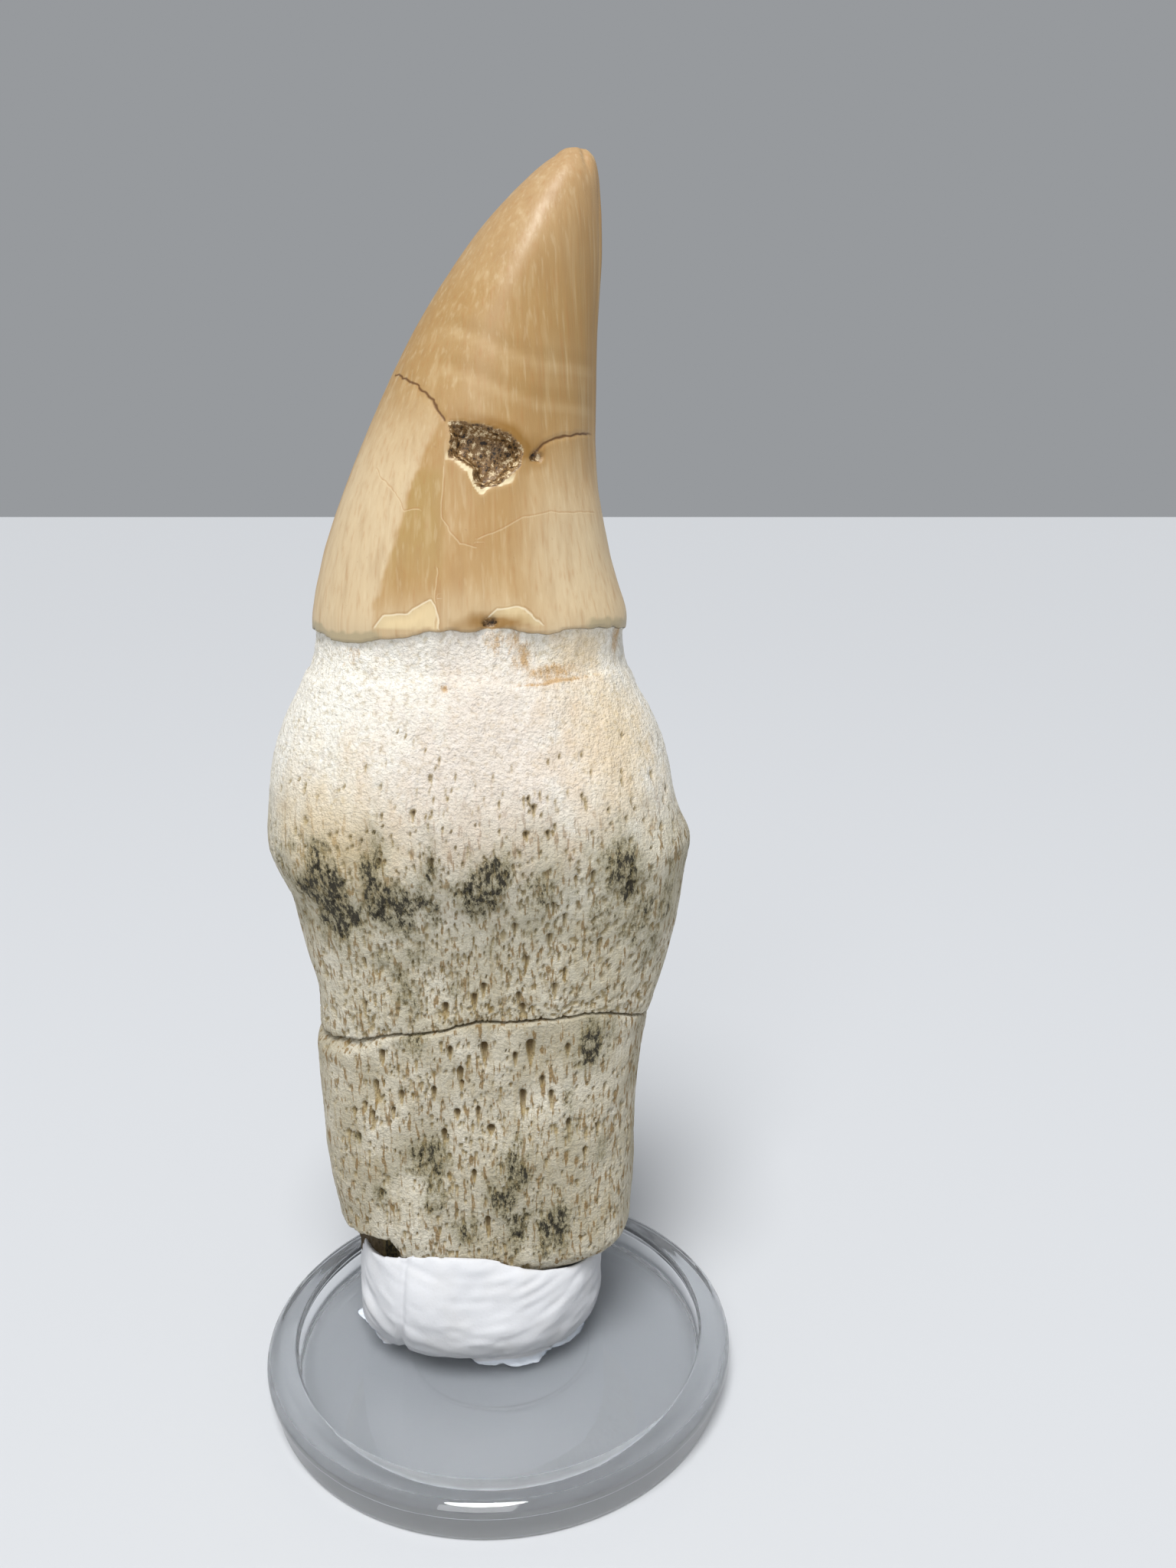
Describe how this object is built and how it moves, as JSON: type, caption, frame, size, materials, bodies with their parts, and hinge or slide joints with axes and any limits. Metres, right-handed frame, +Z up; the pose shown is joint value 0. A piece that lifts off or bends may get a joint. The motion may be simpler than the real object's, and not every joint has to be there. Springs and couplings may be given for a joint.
{
  "type": "fossil marine reptile tooth on a clear stand",
  "caption": "Fossil mosasaur tooth with its root, crown curving to one side, stood upright in white putty on a clear round plastic dish.",
  "frame": {"origin": "centre of the clear base's flat underside", "axes": "+Z up along the tooth, -Y is the front with the hole in the enamel, +X is the side the crown's tip curves to"},
  "size_m": [0.044, 0.044, 0.1093],
  "materials": {
    "enamel_and_bone": "glossy caramel fossil enamel over matt cream fossil bone",
    "bone": "matt cream fossil bone with open pores and grey stains",
    "putty": "matt white putty smoothed by a finger",
    "clear_plastic": "clear moulded polystyrene, polished"
  },
  "bodies": {
    "root": {"tooth": "enamel_and_bone", "root_end": "bone", "putty": "putty", "clear_base": "clear_plastic"}
  },
  "joints": []
}
